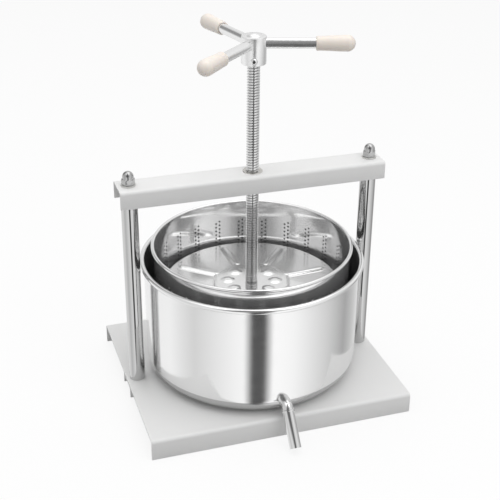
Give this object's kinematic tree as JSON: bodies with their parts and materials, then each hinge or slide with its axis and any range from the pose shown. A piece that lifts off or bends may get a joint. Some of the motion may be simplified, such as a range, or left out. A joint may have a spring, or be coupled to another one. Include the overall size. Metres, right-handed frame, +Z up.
{
  "type": "fruit wine press",
  "caption": "Tabletop screw press: a three-armed handle drives a ribbed plate into a perforated steel basket inside a juice bucket with a drain spout, in a beam-and-post frame.",
  "frame": {"origin": "on the table, in the middle of the whole footprint: halfway between the base's left and right ends, and halfway between the spout's lip and the back of the bucket's rim; the screw's axis stands 18.106 mm behind it", "axes": "+X along the beam to the right as seen from the spout, +Y away from the spout, +Z up along the screw"},
  "size_m": [0.3, 0.2902, 0.4176],
  "materials": {
    "powder_coat": "white satin powder coat",
    "chrome_tube": "polished chrome plating",
    "zinc_steel": "zinc plated",
    "nut_steel": "plain turned and milled steel",
    "stainless_sheet": "polished stainless sheet",
    "stainless_tube": "polished stainless tube",
    "turned_steel": "turned steel",
    "screw_steel": "rolled thread, lightly oiled",
    "satin_hub": "satin turned steel",
    "ivory_grip": "glossy ivory plastic"
  },
  "bodies": {
    "frame": {"base_plate": "powder_coat", "base_channel": "powder_coat", "left_post": "chrome_tube", "right_post": "chrome_tube", "left_tie_rod": "zinc_steel", "right_tie_rod": "zinc_steel", "top_beam": "powder_coat", "drive_nut": "nut_steel", "cap_nuts": "chrome_tube", "beam_washers": "zinc_steel", "foot_nuts": "zinc_steel", "foot_washers": "zinc_steel"},
    "bucket": {"juice_bucket": "stainless_sheet", "spout_neck": "stainless_tube", "spout_elbow": "stainless_tube", "drain_spout": "stainless_tube", "spout_collar": "stainless_tube"},
    "basket": {"pressing_basket": "stainless_sheet"},
    "press": {"press_plate": "stainless_sheet", "thrust_block": "turned_steel"},
    "spindle": {"lead_screw": "screw_steel", "retaining_washer": "zinc_steel", "retaining_nut": "zinc_steel", "hub": "satin_hub", "hub_set_screw": "chrome_tube", "right_arm": "chrome_tube", "front_arm": "chrome_tube", "back_arm": "chrome_tube", "right_grip": "ivory_grip", "front_grip": "ivory_grip", "back_grip": "ivory_grip"}
  },
  "joints": [
    {"name": "press_feed", "type": "slide", "parent": "frame", "child": "press", "axis": [0, 0, 1], "range_m": [-0.077, 0.113]},
    {"name": "screw_turn", "type": "hinge", "parent": "press", "child": "spindle", "pos_m": [0, 0.01811, 0], "axis": [0, 0, 1], "range_deg": [-9240, 13560]},
    {"name": "bucket_turn", "type": "hinge", "parent": "frame", "child": "bucket", "pos_m": [0, 0.01811, 0], "axis": [0, 0, 1], "range_deg": [-12, 12]},
    {"name": "basket_turn", "type": "hinge", "parent": "bucket", "child": "basket", "pos_m": [0, 0.01811, 0], "axis": [0, 0, 1], "continuous": true}
  ],
  "couplings": [
    {"joint": "press_feed", "follows": "screw_turn", "m_per_rad": 0.00047746}
  ]
}
